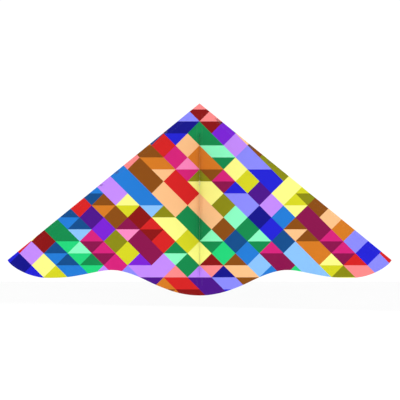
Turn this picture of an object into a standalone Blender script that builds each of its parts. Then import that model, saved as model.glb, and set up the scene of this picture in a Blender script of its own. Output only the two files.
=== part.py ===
"""Single-line delta kite: two sail halves on leading-edge spars, a spine, a two-piece spreader
that plugs into a tee on the spine, and a triangular keel with a tow eyelet.

Frame: metres. The sail lies in the plane y = 0. +X runs along the span, +Z to the nose, and
+Y to the back of the sail, where the spars are. The keel hangs in front, on the -Y side.
The origin is on the sail's centre seam, at the height of the spreader.
"""

from math import cos, pi, radians, sin

import bmesh
import bpy
from mathutils import Matrix, Vector
from mathutils.geometry import interpolate_bezier

# Sail outline
HALF_SPAN = 0.800
NOSE_Z = 0.375
TIP_Z = -0.2775
TAIL_Z = -0.4255
CREST = (0.366, -0.320)  # where the scalloped trailing edge is highest
LOBE = (0.623, -0.353)  # the lowest point of each wing's lobe
TAIL_REACH = 0.160  # how far each curve of the trailing edge leans out of its end points
CREST_REACH = (0.113, 0.071)
LOBE_REACH = (0.127, 0.109)
TIP_REACH = (-0.002, -0.013)
TRAILING_EDGE_STEPS = 9
FABRIC = 0.0010
GAP = 0.0003  # between pieces that touch

# Fold lines, one each side of the stiff band along the spine
FOLD_X = 0.016
BAND_HALF = FOLD_X - 0.0008
WING_START = FOLD_X + GAP
HEM_START = 0.0185  # the hem stops short of the fold line, so that it clears the band
HEM_END = 0.745
HEM_WIDTH = 0.008

# Spars, and the sleeves sewn behind the sail that hold them
ROD_R = 0.0025
ROD_Y = 0.0052
SLEEVE_IN = 0.0039
SLEEVE_OUT = 0.0044
HEM = 0.0010
GRIP_IN = 0.0028
GRIP_OUT = 0.0042
SPAR_INSET = 0.0060  # from the leading edge to the spar's axis
SLEEVE_FLANGE = 0.0150
SPINE_FLANGE = 0.0140
WINDOW_HALF = 0.030  # half the cut-out in the sleeve at the spreader
SLEEVE_START = 0.047
SPAR_START = 0.055
SPAR_END = 1.000
SPAR_JOIN = 0.515
FERRULE_HALF = 0.030
FERRULE_R = 0.0034
STOP_R = 0.0040
STOP_LENGTH = 0.0040
STOP_SHIFT = 0.0155  # from the spreader's pivot to each stop ring

# Spreader
SPREADER_R = 0.0030
SPREADER_Y = 0.0150
SOCKET_IN = 0.0033
SOCKET_OUT = 0.0046
SOCKET_LENGTH = 0.035
TEE_HALF = 0.0140
TEE_GRIP_HALF = 0.012
TEE_WEB = (0.007, 0.0035, 0.018)
SPREADER_CLEARANCE = 0.0010
CONNECTOR_HALF = 0.012
BOSS_R = 0.005
BOSS_FOOT = 0.001  # from the spar's axis to the foot of the boss
EYE_R = 0.0065
EYE_NECK = 0.003  # from the pivot to where the eye's socket tube starts
SOCKET_BOTTOM = 0.009
PIN_R = 0.0020
PIN_CLEARANCE = 0.0004
PIN_HEAD_R = 0.0038
PIN_HEAD_TOP = 0.0025
BORE_PAST = 0.010  # how far a cutter reaches past what it cuts

# Spine, from the pocket at the nose to the pocket at the tail
SPINE_TOP = NOSE_Z - 0.024
SPINE_BOTTOM = TAIL_Z + 0.020
TEE_WINDOW_HALF = 0.018  # half the gap that the tee leaves in the spine's sleeve

# A cap on a rod's end, and the sewn pocket round it: (radius, height above the rod's end)
CAP_R = 0.0034
CAP_TOP = 0.003
CAP_REACH = 0.012
POCKET_TOP = 0.006
POCKET_REACH = 0.018
POCKET_WALL = 0.0015

# Tail loop
LOOP_R = 0.010
LOOP_STRAIGHT = 0.008
LOOP_WEB = 0.0015

# Keel
KEEL_Y = -0.0020
KEEL_TOP = 0.250
KEEL_BOTTOM = -0.350
TOW_CORNER = (-0.205, 0.045)  # y, z of the corner before rounding
TOW_CORNER_R = 0.022
BINDING = 0.010
EYELET_BORE = 0.0036
EYELET_BARREL = 0.0044
EYELET_FLANGE = 0.0080
EYELET_HOLE = 0.0050
EYELET_BACK = 0.012  # from the centre of the corner's rounding
EYELET_THICK = 0.0008
PATCH_R = 0.0125

SIDES = 16

LE_RUN = Vector((HALF_SPAN, 0, TIP_Z - NOSE_Z))
LE_DIRECTION = LE_RUN.normalized()
LE_INWARD = Vector((LE_DIRECTION.z, 0, -LE_DIRECTION.x))


# Scene

def clear_scene():
    for old in list(bpy.data.objects):
        bpy.data.objects.remove(old)


def collection(name):
    made = bpy.data.collections.new(name)
    bpy.context.scene.collection.children.link(made)
    return made


def material(name, colour, roughness, metallic=0.0):
    made = bpy.data.materials.new(name)
    made.use_nodes = True
    shader = made.node_tree.nodes["Principled BSDF"]
    shader.inputs["Base Color"].default_value = (*colour, 1)
    shader.inputs["Roughness"].default_value = roughness
    shader.inputs["Metallic"].default_value = metallic
    return made


clear_scene()
KITE = collection("delta_kite")
CUTTERS = collection("cutters")
PRINTED = material("printed_ripstop", (0.25, 0.42, 0.75), 0.55)
TAPE = material("edge_tape", (0.05, 0.06, 0.10), 0.7)
GLASS_ROD = material("fibreglass", (0.03, 0.03, 0.035), 0.35)
VINYL = material("vinyl", (0.02, 0.02, 0.02), 0.5)
ALLOY = material("aluminium", (0.75, 0.76, 0.78), 0.3, 1.0)
BRASS = material("nickel_brass", (0.72, 0.68, 0.58), 0.25, 1.0)


def add(name, data, finish, group=KITE):
    piece = bpy.data.objects.new(name, data)
    group.objects.link(piece)
    data.materials.append(finish)
    return piece


# Shapes

def circle(radius, x=0.0, y=0.0, sides=SIDES):
    return [(x + radius * cos(2 * pi * i / sides), y + radius * sin(2 * pi * i / sides))
            for i in range(sides)]


def prism(name, loops, centre, x_axis, y_axis, length, finish):
    """The flat outline in loops, holes among them, extruded by length about its centre."""
    data = bpy.data.curves.new(name, "CURVE")
    data.dimensions = "2D"
    data.fill_mode = "BOTH"
    data.extrude = length / 2
    for loop in loops:
        spline = data.splines.new("POLY")
        spline.points.add(len(loop) - 1)
        for point, (x, y) in zip(spline.points, loop):
            point.co = (x, y, 0, 1)
        spline.use_cyclic_u = True
    piece = add(name, data, finish)
    axes = Matrix((x_axis, y_axis, x_axis.cross(y_axis))).transposed()
    piece.matrix_world = Matrix.Translation(centre) @ axes.to_4x4()
    return piece


def sheet(name, loops, y, thickness, finish):
    """A flat piece parallel to the sail, outlined in x and z, with its front face at y."""
    centre = Vector((0, y + thickness / 2, 0))
    return prism(name, loops, centre, Vector((1, 0, 0)), Vector((0, 0, 1)), thickness, finish)


def rod(name, start, end, radius, finish, group=KITE):
    data = bpy.data.meshes.new(name)
    shape = bmesh.new()
    run = end - start
    bmesh.ops.create_cone(shape, cap_ends=True, segments=SIDES, radius1=radius,
                          radius2=radius, depth=run.length)
    turn = Vector((0, 0, 1)).rotation_difference(run).to_matrix()
    shape.transform(turn.to_4x4())
    shape.to_mesh(data)
    shape.free()
    data.shade_smooth()
    data.set_sharp_from_angle(angle=radians(40))
    piece = add(name, data, finish, group)
    piece.location = (start + end) / 2
    return piece


def block(name, centre, size, finish, group=KITE):
    data = bpy.data.meshes.new(name)
    shape = bmesh.new()
    bmesh.ops.create_cube(shape, size=1, matrix=Matrix.Diagonal((*size, 1)))
    shape.to_mesh(data)
    shape.free()
    piece = add(name, data, finish, group)
    piece.location = centre
    return piece


def turned(name, profile, centre, axis, finish):
    """A profile of (radius, height) points, from top to bottom, turned about an axis."""
    data = bpy.data.meshes.new(name)
    shape = bmesh.new()
    points = [shape.verts.new((radius, 0, height)) for radius, height in profile]
    for a, b in zip(points, points[1:]):
        shape.edges.new((a, b))
    if profile[0][0] > 0:
        shape.edges.new((points[-1], points[0]))
    shape.to_mesh(data)
    shape.free()
    piece = add(name, data, finish)
    screw = piece.modifiers.new("turn", "SCREW")
    screw.steps = screw.render_steps = SIDES
    screw.use_merge_vertices = True
    screw.merge_threshold = 0.00001
    piece.location = centre
    piece.rotation_euler = Vector((0, 0, 1)).rotation_difference(axis).to_euler()
    return piece


def boolean(piece, tool, operation):
    tool.hide_render = True
    tool.display_type = "WIRE"
    change = piece.modifiers.new(tool.name, "BOOLEAN")
    change.object = tool
    change.operation = operation
    change.solver = "EXACT"


# Outline of the sail

def leading_edge_z(x):
    return NOSE_Z + (TIP_Z - NOSE_Z) * x / HALF_SPAN


def trailing_edge():
    """Points (x, z) from the centre seam out to the wing tip."""
    tail = (0.0, TAIL_Z)
    tip = (HALF_SPAN, TIP_Z)
    spans = [
        (tail, (TAIL_REACH, TAIL_Z), (CREST[0] - CREST_REACH[0], CREST[1]), CREST),
        (CREST, (CREST[0] + CREST_REACH[1], CREST[1]), (LOBE[0] - LOBE_REACH[0], LOBE[1]), LOBE),
        (LOBE, (LOBE[0] + LOBE_REACH[1], LOBE[1]), (tip[0] + TIP_REACH[0], tip[1] + TIP_REACH[1]), tip),
    ]
    points = []
    for span in spans:
        knots = [Vector((x, z, 0)) for x, z in span]
        points += [(p.x, p.y) for p in interpolate_bezier(*knots, TRAILING_EDGE_STEPS)[:-1]]
    return points + [tip]


def trailing_edge_z(x):
    points = trailing_edge()
    for (xa, za), (xb, zb) in zip(points, points[1:]):
        if xa <= x <= xb:
            return za + (zb - za) * (x - xa) / (xb - xa)
    return TIP_Z


def offset_inward(points, distance):
    """The same line moved up, into the sail, by a distance along its own normals."""
    moved = []
    for i, (x, z) in enumerate(points):
        before = points[max(i - 1, 0)]
        after = points[min(i + 1, len(points) - 1)]
        run = Vector((after[0] - before[0], after[1] - before[1])).normalized()
        moved.append((x - run.y * distance, z + run.x * distance))
    return moved


def mirrored(points, side):
    return [(side * x, z) for x, z in points]


def on_leading_edge(side, distance, inset=SPAR_INSET, y=ROD_Y):
    """A point at a distance from the nose along a leading edge, and inset from it."""
    point = Vector((0, y, NOSE_Z)) + LE_DIRECTION * distance + LE_INWARD * inset
    return Vector((side * point.x, point.y, point.z))


def sleeve_section(flanges):
    """Tube round a spar with sewn flanges: on both sides, or on one side only."""
    arc_start, arc_end = (radians(60), radians(270)) if flanges == 1 else (radians(30), radians(150))
    arc_steps = 14 if flanges == 1 else 9
    step = (arc_end - arc_start) / arc_steps
    outer = [(SLEEVE_OUT * cos(arc_start + step * i), SLEEVE_OUT * sin(arc_start + step * i))
             for i in range(arc_steps + 1)]
    base = -SLEEVE_OUT
    if flanges == 2:
        outer += [(-SPINE_FLANGE, base + HEM), (-SPINE_FLANGE, base)]
        outer += [(SPINE_FLANGE, base), (SPINE_FLANGE, base + HEM)]
    else:
        outer += [(SLEEVE_FLANGE, base), (SLEEVE_FLANGE, base + HEM)]
    return [outer, circle(SLEEVE_IN)]


PIVOT_DISTANCE = (NOSE_Z + LE_INWARD.z * SPAR_INSET) / -LE_DIRECTION.z
PIVOT_X = on_leading_edge(1, PIVOT_DISTANCE).x
UP = Vector((0, 0, 1))
BACK = Vector((0, 1, 0))
CAP_PROFILE = [(0, CAP_TOP), (CAP_R, CAP_TOP), (CAP_R, -CAP_REACH), (ROD_R + GAP, -CAP_REACH),
               (ROD_R + GAP, GAP), (0, GAP)]
POCKET_PROFILE = [(0, POCKET_TOP), (SLEEVE_OUT, POCKET_TOP), (SLEEVE_OUT, -POCKET_REACH),
                  (SLEEVE_IN, -POCKET_REACH), (SLEEVE_IN, POCKET_TOP - POCKET_WALL),
                  (0, POCKET_TOP - POCKET_WALL)]


# Centre: what stays with the spine

def make_spine():
    rod("spine_rod", Vector((0, ROD_Y, SPINE_BOTTOM)), Vector((0, ROD_Y, SPINE_TOP)), ROD_R, GLASS_ROD)
    top, bottom = Vector((0, ROD_Y, SPINE_TOP)), Vector((0, ROD_Y, SPINE_BOTTOM))
    turned("spine_nose_cap", CAP_PROFILE, top, UP, VINYL)
    turned("spine_tail_cap", CAP_PROFILE, bottom, -UP, VINYL)
    turned("nose_pocket", POCKET_PROFILE, top, UP, TAPE)
    turned("tail_pocket", POCKET_PROFILE, bottom, -UP, TAPE)
    section = sleeve_section(2)
    upper = (TEE_WINDOW_HALF, SPINE_TOP - POCKET_REACH - GAP)
    lower = (SPINE_BOTTOM + POCKET_REACH + GAP, -TEE_WINDOW_HALF)
    for name, (low, high) in (("spine_sleeve_upper", upper), ("spine_sleeve_lower", lower)):
        centre = Vector((0, ROD_Y, (low + high) / 2))
        prism(name, section, centre, Vector((-1, 0, 0)), BACK, high - low, PRINTED)


def make_band():
    edge = [point for point in trailing_edge() if point[0] < BAND_HALF]
    edge.append((BAND_HALF, trailing_edge_z(BAND_HALF)))
    right = edge + [(BAND_HALF, leading_edge_z(BAND_HALF))]
    left = [(-x, z) for x, z in reversed(right) if x > 0]
    outline = right + [(0, NOSE_Z)] + left
    sheet("centre_band", [outline], -FABRIC / 2, FABRIC, PRINTED)


def make_tail_loop():
    """A webbing loop behind the tail pocket, standing back from it."""

    def stadium(radius, back):
        arc = [radians(angle) for angle in range(-90, 91, 15)]
        round_end = [(LOOP_STRAIGHT + radius * cos(a), radius * sin(a)) for a in arc]
        return [(back, -radius)] + round_end + [(back, radius)]

    outlines = [stadium(LOOP_R, 0), stadium(LOOP_R - LOOP_WEB, LOOP_WEB)]
    foot = Vector((0, ROD_Y + SLEEVE_OUT + GAP, SPINE_BOTTOM + POCKET_TOP))
    prism("tail_loop", outlines, foot, BACK, UP, LOOP_R, TAPE)


def make_tee():
    """Moulded tee: a grip on the spine in front, and a socket tube across behind it."""
    middle = Vector((0, SPREADER_Y, 0))
    across = Vector((TEE_HALF, 0, 0))
    tee = rod("centre_tee", middle - across, middle + across, SOCKET_OUT, VINYL)
    low, high = Vector((0, ROD_Y, -TEE_GRIP_HALF)), Vector((0, ROD_Y, TEE_GRIP_HALF))
    boolean(tee, rod("tee_grip", low, high, GRIP_OUT, VINYL, CUTTERS), "UNION")
    web_y = (ROD_Y + GRIP_IN + SPREADER_Y - SOCKET_IN) / 2
    web = Vector((0, web_y, 0))
    boolean(tee, block("tee_web", web, TEE_WEB, VINYL, CUTTERS), "UNION")
    past = BORE_PAST * UP
    boolean(tee, rod("tee_spine_bore", low - past, high + past, GRIP_IN, VINYL, CUTTERS), "DIFFERENCE")
    bore = rod("tee_socket_bore", middle - across * 2, middle + across * 2, SOCKET_IN, VINYL, CUTTERS)
    boolean(tee, bore, "DIFFERENCE")


# One wing

def make_sail(side, label):
    edge = [point for point in trailing_edge() if point[0] > WING_START]
    start = (WING_START, trailing_edge_z(WING_START))
    outline = [start] + edge + [(WING_START, leading_edge_z(WING_START))]
    sheet(f"sail_{label}", [mirrored(outline, side)], -FABRIC / 2, FABRIC, PRINTED)

    line = [(HEM_START, trailing_edge_z(HEM_START))]
    line += [point for point in edge if HEM_START < point[0] < HEM_END]
    hem = line + offset_inward(line, HEM_WIDTH)[::-1]
    hem = [(max(x, HEM_START), z) for x, z in hem]
    sheet(f"trailing_edge_hem_{label}", [mirrored(hem, side)], FABRIC / 2 + GAP, HEM, PRINTED)


def make_spar(side, label):
    inward = Vector((side * LE_INWARD.x, 0, LE_INWARD.z))
    along = Vector((side * LE_DIRECTION.x, 0, LE_DIRECTION.z))
    ends = {"upper": (SPAR_START, SPAR_JOIN - GAP / 2), "lower": (SPAR_JOIN + GAP / 2, SPAR_END)}
    for part, (start, end) in ends.items():
        rod(f"leading_edge_spar_{part}_{label}", on_leading_edge(side, start),
            on_leading_edge(side, end), ROD_R, GLASS_ROD)

    def ring(name, middle, length, outer, inner, finish):
        loops = [circle(outer), circle(inner)]
        prism(name, loops, on_leading_edge(side, middle), inward, BACK, length, finish)

    ring(f"spar_ferrule_{label}", SPAR_JOIN, 2 * FERRULE_HALF, FERRULE_R, GRIP_IN, ALLOY)
    for part, shift in (("upper", -STOP_SHIFT), ("lower", STOP_SHIFT)):
        ring(f"stop_ring_{part}_{label}", PIVOT_DISTANCE + shift, STOP_LENGTH, STOP_R, GRIP_IN, VINYL)

    turned(f"spar_nose_cap_{label}", CAP_PROFILE, on_leading_edge(side, SPAR_START), -along, VINYL)
    turned(f"spar_tip_cap_{label}", CAP_PROFILE, on_leading_edge(side, SPAR_END), along, VINYL)
    turned(f"tip_pocket_{label}", POCKET_PROFILE, on_leading_edge(side, SPAR_END), along, TAPE)

    section = sleeve_section(1)
    sleeves = {"upper": (SLEEVE_START, PIVOT_DISTANCE - WINDOW_HALF),
               "lower": (PIVOT_DISTANCE + WINDOW_HALF, SPAR_END - POCKET_REACH - GAP)}
    for part, (start, end) in sleeves.items():
        prism(f"leading_edge_sleeve_{part}_{label}", section, on_leading_edge(side, (start + end) / 2),
              inward, BACK, end - start, PRINTED)


def make_connector(side, label):
    """Moulded grip on the leading-edge spar, whose boss carries the spreader's pivot pin."""
    ends = [on_leading_edge(side, PIVOT_DISTANCE + shift) for shift in (-CONNECTOR_HALF, CONNECTOR_HALF)]
    connector = rod(f"spreader_connector_{label}", *ends, GRIP_OUT, VINYL)
    pivot = Vector((side * PIVOT_X, 0, 0))
    front = SPREADER_Y - SOCKET_OUT
    foot = pivot + BACK * (ROD_Y + BOSS_FOOT)
    boss = rod(f"connector_boss_{label}", foot, pivot + BACK * (front - GAP), BOSS_R, VINYL, CUTTERS)
    boolean(connector, boss, "UNION")
    far = [on_leading_edge(side, PIVOT_DISTANCE + 2 * shift) for shift in (-CONNECTOR_HALF, CONNECTOR_HALF)]
    boolean(connector, rod(f"connector_bore_{label}", *far, GRIP_IN, VINYL, CUTTERS), "DIFFERENCE")

    thick = 2 * SOCKET_OUT
    top = thick + PIN_HEAD_TOP
    pin = [(0, top), (PIN_HEAD_R, top), (PIN_HEAD_R, thick + GAP), (PIN_R, thick + GAP), (PIN_R, 0), (0, 0)]
    turned(f"pivot_pin_{label}", pin, pivot + BACK * front, BACK, ALLOY)


# One half of the spreader

def make_spreader(side, label):
    pivot = Vector((side * PIVOT_X, SPREADER_Y, 0))
    inward = Vector((-side, 0, 0))
    inner_end = Vector((side * (TEE_HALF + SPREADER_CLEARANCE), SPREADER_Y, 0))
    rod(f"spreader_rod_{label}", inner_end, pivot + inward * (SOCKET_BOTTOM + GAP), SPREADER_R, GLASS_ROD)

    eye = rod(f"spreader_eye_{label}", pivot + inward * EYE_NECK, pivot + inward * SOCKET_LENGTH,
              SOCKET_OUT, VINYL)
    half = BACK * SOCKET_OUT
    boolean(eye, rod(f"eye_ring_{label}", pivot - half, pivot + half, EYE_R, VINYL, CUTTERS), "UNION")
    hole = rod(f"eye_hole_{label}", pivot - 2 * half, pivot + 2 * half, PIN_R + PIN_CLEARANCE, VINYL,
               CUTTERS)
    boolean(eye, hole, "DIFFERENCE")
    mouth = pivot + inward * (SOCKET_LENGTH + BORE_PAST)
    bore = rod(f"eye_socket_{label}", pivot + inward * SOCKET_BOTTOM, mouth, SOCKET_IN, VINYL, CUTTERS)
    boolean(eye, bore, "DIFFERENCE")


# Keel

def rounded_corner(before, corner, after, radius, steps=8):
    """Points of the arc that rounds a corner between two straight edges."""
    a, c, b = Vector(before), Vector(corner), Vector(after)
    to_a, to_b = (a - c).normalized(), (b - c).normalized()
    half = to_a.angle(to_b) / 2
    centre = c + (to_a + to_b).normalized() * (radius / sin(half))
    start = (c + to_a * (radius / (sin(half) / cos(half)))) - centre
    turn = start.angle_signed((c + to_b * (radius / (sin(half) / cos(half)))) - centre)
    arc = []
    for i in range(steps + 1):
        spoke = start.copy()
        spoke.rotate(Matrix.Rotation(-turn * i / steps, 2))
        arc.append(tuple(centre + spoke))
    return arc, tuple(centre)


def keel_line(inset):
    """The keel's two free edges, from the top of its seam round the tow corner to the bottom."""
    top, bottom = (KEEL_Y, KEEL_TOP), (KEEL_Y, KEEL_BOTTOM)
    arc, centre = rounded_corner(top, TOW_CORNER, bottom, TOW_CORNER_R)
    line = [top] + arc + [bottom]
    if inset == 0:
        return line, centre
    moved = []
    for i, point in enumerate(line):
        before, after = Vector(line[max(i - 1, 0)]), Vector(line[min(i + 1, len(line) - 1)])
        run = (after - before).normalized()
        moved.append((point[0] - run.y * inset, point[1] + run.x * inset))
    top_slope = (moved[1][1] - moved[0][1]) / (moved[1][0] - moved[0][0])
    bottom_slope = (moved[-2][1] - moved[-1][1]) / (moved[-2][0] - moved[-1][0])
    moved[0] = (KEEL_Y, moved[1][1] + top_slope * (KEEL_Y - moved[1][0]))
    moved[-1] = (KEEL_Y, moved[-2][1] + bottom_slope * (KEEL_Y - moved[-2][0]))
    return moved, centre


def make_keel():
    keel_x, keel_y = Vector((0, 1, 0)), Vector((0, 0, 1))
    outer, corner = keel_line(0)
    inner, _ = keel_line(BINDING)
    inside, _ = keel_line(BINDING + GAP)
    origin = Vector((0, 0, 0))
    prism("keel_binding", [outer + inner[::-1]], origin, keel_x, keel_y, 2 * HEM, TAPE)
    eyelet = (corner[0] + EYELET_BACK, corner[1])
    hole = circle(EYELET_HOLE, *eyelet)
    prism("keel_panel", [inside, hole], origin, keel_x, keel_y, FABRIC, PRINTED)

    patch_x = FABRIC / 2 + GAP + EYELET_THICK / 2
    patch = circle(PATCH_R, *eyelet, sides=24)
    for label, side in (("left", -1), ("right", 1)):
        prism(f"keel_patch_{label}", [patch, hole], Vector((side * patch_x, 0, 0)), keel_x, keel_y,
              EYELET_THICK, TAPE)

    face = patch_x + EYELET_THICK / 2 + GAP
    flange = EYELET_THICK
    centre = Vector((0, *eyelet))
    grommet = [(EYELET_BORE, face + flange), (EYELET_FLANGE, face + flange), (EYELET_FLANGE, face),
               (EYELET_BARREL, face), (EYELET_BARREL, -face - flange), (EYELET_BORE, -face - flange)]
    turned("tow_grommet", grommet, centre, Vector((1, 0, 0)), BRASS)
    barrel = EYELET_BARREL + GAP
    washer = [(barrel, -face), (EYELET_FLANGE, -face), (EYELET_FLANGE, -face - flange),
              (barrel, -face - flange)]
    turned("tow_washer", washer, centre, Vector((1, 0, 0)), BRASS)


make_spine()
make_band()
make_tail_loop()
make_tee()
for wing_side, wing_label in ((1, "right"), (-1, "left")):
    make_sail(wing_side, wing_label)
    make_spar(wing_side, wing_label)
    make_connector(wing_side, wing_label)
    make_spreader(wing_side, wing_label)
make_keel()
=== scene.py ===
"""Looks of the delta kite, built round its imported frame.

The sail halves, hems, sleeves and keel are thin cloth. Each is cut along the lines of the print, so
that every triangle of the print is one colour with a crisp edge.

Metres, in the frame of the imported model: +X along the span, +Z to the nose, +Y to the back of the
sail, where the spars are. The keel hangs in front.
"""

from colorsys import hsv_to_rgb
from math import ceil, cos, exp, floor, hypot, pi, radians, sin, tan
from random import Random

import bmesh
import bpy
from mathutils import Matrix, Vector, noise
from mathutils.geometry import interpolate_bezier


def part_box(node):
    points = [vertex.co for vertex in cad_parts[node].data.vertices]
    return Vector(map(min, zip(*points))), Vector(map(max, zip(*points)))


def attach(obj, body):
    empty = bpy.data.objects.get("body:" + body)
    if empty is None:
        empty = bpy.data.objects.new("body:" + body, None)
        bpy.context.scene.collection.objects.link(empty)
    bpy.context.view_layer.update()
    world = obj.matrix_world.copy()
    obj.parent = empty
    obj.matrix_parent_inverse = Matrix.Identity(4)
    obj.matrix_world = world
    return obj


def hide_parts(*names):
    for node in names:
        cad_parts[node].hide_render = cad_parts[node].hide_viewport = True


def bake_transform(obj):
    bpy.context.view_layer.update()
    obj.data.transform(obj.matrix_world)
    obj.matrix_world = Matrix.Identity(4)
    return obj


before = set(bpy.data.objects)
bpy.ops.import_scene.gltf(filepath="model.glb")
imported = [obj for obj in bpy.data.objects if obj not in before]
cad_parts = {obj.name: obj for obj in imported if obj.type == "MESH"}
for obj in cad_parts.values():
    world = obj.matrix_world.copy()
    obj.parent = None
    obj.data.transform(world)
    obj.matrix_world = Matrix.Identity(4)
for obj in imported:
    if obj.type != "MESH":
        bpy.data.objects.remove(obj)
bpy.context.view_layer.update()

SIDES = ((1, "right"), (-1, "left"))

# Sail outline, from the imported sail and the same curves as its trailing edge
HALF_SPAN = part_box("sail_right")[1][0]
NOSE_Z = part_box("centre_band")[1][2]
TAIL_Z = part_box("centre_band")[0][2]
TIP_Z = -0.2775
CREST = (0.366, -0.320)
LOBE = (0.623, -0.353)
EDGE_STEPS = 28

# Cloth and seams
CLOTH = 0.0003
BEND_END = 0.020
HEM_WIDTH = 0.008
SEAM_LIFT = 0.00045  # one layer of cloth lying on another
STITCH_PITCH = 0.0034
STITCH_SHARE = 0.72  # how much of the pitch is thread, and not the gap to the next stitch
THREAD_R = 0.00018
THREAD_DYE = 0.92

BAND_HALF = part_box("centre_band")[1][0]

# Spars and sleeves
ROD_Y = sum(axis[1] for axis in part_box("spine_rod")) / 2
SPAR_INSET = 0.0060
SLEEVE_R = 0.0043
SLEEVE_FLANGE = 0.0150
SLEEVE_START = 0.047
SLEEVE_END = 0.9817
WINDOW_HALF = 0.030
SPAR_END = 1.000
SPINE_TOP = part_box("spine_rod")[1][2]
SPINE_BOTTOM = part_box("spine_rod")[0][2]
POCKET_REACH = 0.018
POCKET_TOP = 0.006
SLEEVE_HEM = 0.005
SLEEVE_HEM_RISE = 0.00028
TEE_WINDOW_HALF = 0.018

# Keel
KEEL_Y = -0.0020
KEEL_TOP = 0.250
KEEL_BOTTOM = -0.350
TOW_CORNER = (-0.205, 0.045)
TOW_CORNER_R = 0.022
BINDING = 0.010
EYELET_BACK = 0.012
EYELET_BORE = 0.0037
EYELET_FLANGE = 0.0078
PATCH_R = 0.0122

LE_RUN = Vector((HALF_SPAN, 0, TIP_Z - NOSE_Z))
LE_DIRECTION = LE_RUN.normalized()
LE_INWARD = Vector((LE_DIRECTION.z, 0, -LE_DIRECTION.x))
PIVOT_DISTANCE = (NOSE_Z + LE_INWARD.z * SPAR_INSET) / -LE_DIRECTION.z


# The print: a generic mosaic. Squares stand on their corners, half a diagonal apart, and lie in ribbons
# that run down to the right. A run of squares along a ribbon keeps to one hue, and a square is one
# shade of it, or two triangles.

PRINT_STEP = 0.050
SQUARE_NUMBERS = range(-16, 16)  # from end to end of a ribbon, and from ribbon to ribbon
LONGEST_RUN = 4
PRINT_SEED = 3
SPLIT_SHARE = 0.4  # how many squares are two triangles

# Eight hues of the twelve-part colour wheel, in degrees
HUES = {
    "red": 0, "orange": 30, "yellow": 60, "green": 150,
    "sky": 210, "blue": 240, "violet": 270, "pink": 330,
}
SHADES = ((0.45, 1.0), (0.85, 0.85), (0.9, 0.55))  # fullness and brightness of light, middle and dark
CLOTH_WHITE = 0.81  # how much light undyed cloth sends back
BACK_PALENESS = 0.13
BACK_CLOTH = Vector((0.55, 0.55, 0.57))


def linear(share):
    """A screen colour's share, 0 to 1, as light."""
    return share / 12.92 if share <= 0.04045 else ((share + 0.055) / 1.055) ** 2.4


def clamp(value, low, high):
    return max(low, min(high, value))


def smooth(value):
    value = clamp(value, 0, 1)
    return value * value * (3 - 2 * value)


def shades_of(angle):
    """The light, middle and dark dye of a hue, as light."""
    for fullness, brightness in SHADES:
        yield tuple(CLOTH_WHITE * linear(share) for share in hsv_to_rgb(angle / 360, fullness, brightness))


def make_mosaic():
    """The upper and lower colour of every square, by ribbon and by place along it."""
    draw = Random(PRINT_SEED)
    hues = [list(shades_of(angle)) for angle in HUES.values()]
    squares = {}
    for ribbon in SQUARE_NUMBERS:
        hue, left = draw.choice(hues), 0
        for along in SQUARE_NUMBERS:
            if left == 0:
                hue = draw.choice([other for other in hues if other is not hue])
                left = draw.randint(1, LONGEST_RUN)
            left -= 1
            upper = draw.choice(hue)
            lower = draw.choice([shade for shade in hue if shade is not upper])
            squares[ribbon, along] = (upper, lower if draw.random() < SPLIT_SHARE else upper)
    return squares


MOSAIC = make_mosaic()


def print_colour(x, z):
    """The dye at a place on the sail."""
    across, down = x / PRINT_STEP, -z / PRINT_STEP
    along, ribbon = floor((down + across) / 2), floor((down - across) / 2)
    lower = down > along + ribbon + 1
    return MOSAIC[ribbon, along][lower]


# The print's three families of lines: how fast each one's number grows along x and z
FAMILIES = (
    (0, -1 / PRINT_STEP),
    (0.5 / PRINT_STEP, -0.5 / PRINT_STEP),
    (-0.5 / PRINT_STEP, -0.5 / PRINT_STEP),
)


def cut_along_print(shape, parts=1):
    """Cuts a mesh along the print's lines, and along parts - 1 evenly spaced lines between them."""
    xs = [vert.co.x for vert in shape.verts]
    zs = [vert.co.z for vert in shape.verts]
    corners = [(x, z) for x in (min(xs), max(xs)) for z in (min(zs), max(zs))]
    for grow_x, grow_z in FAMILIES:
        numbers = [grow_x * x + grow_z * z for x, z in corners]
        normal = Vector((grow_x, 0, grow_z))
        for line in range(ceil(min(numbers) * parts), floor(max(numbers) * parts) + 1):
            point = normal * (line / parts / normal.length_squared)
            bmesh.ops.bisect_plane(shape, geom=shape.verts[:] + shape.edges[:] + shape.faces[:],
                                   dist=0.00001, plane_co=point, plane_no=normal.normalized())


def dye(shape, place=lambda centre: (centre.x, centre.z)):
    """Gives each face of unthickened cloth the print's colour at place(centre)."""
    layer = shape.loops.layers.float_color.new("print")
    for face in shape.faces:
        colour = print_colour(*place(face.calc_center_median()))
        for loop in face.loops:
            loop[layer] = (*colour, 1)


def fade_back(shape):
    """Makes the dye paler where the back of the cloth shows."""
    layer = shape.loops.layers.float_color["print"]
    for face in shape.faces:
        if face.normal.y > 0.2:
            for loop in face.loops:
                loop[layer] = (*Vector(loop[layer][:3]).lerp(BACK_CLOTH, BACK_PALENESS), 1)


# Node building

def link(tree, value, socket):
    if isinstance(value, bpy.types.NodeSocket):
        tree.links.new(value, socket)
    else:
        socket.default_value = value


def maths(tree, operation, *values):
    node = tree.nodes.new("ShaderNodeMath")
    node.operation = operation
    for value, socket in zip(values, node.inputs):
        link(tree, value, socket)
    return node.outputs[0]


def mixed(tree, blend, factor, a, b):
    node = tree.nodes.new("ShaderNodeMix")
    node.data_type = "RGBA"
    node.blend_type = blend
    link(tree, factor, node.inputs["Factor"])
    link(tree, a, node.inputs[6])
    link(tree, b, node.inputs[7])
    return node.outputs[2]


def noise_at(tree, vector, scale, detail=3.0, roughness=0.5):
    node = tree.nodes.new("ShaderNodeTexNoise")
    node.inputs["Scale"].default_value = scale
    node.inputs["Detail"].default_value = detail
    node.inputs["Roughness"].default_value = roughness
    tree.links.new(vector, node.inputs["Vector"])
    return node.outputs["Fac"]


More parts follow.
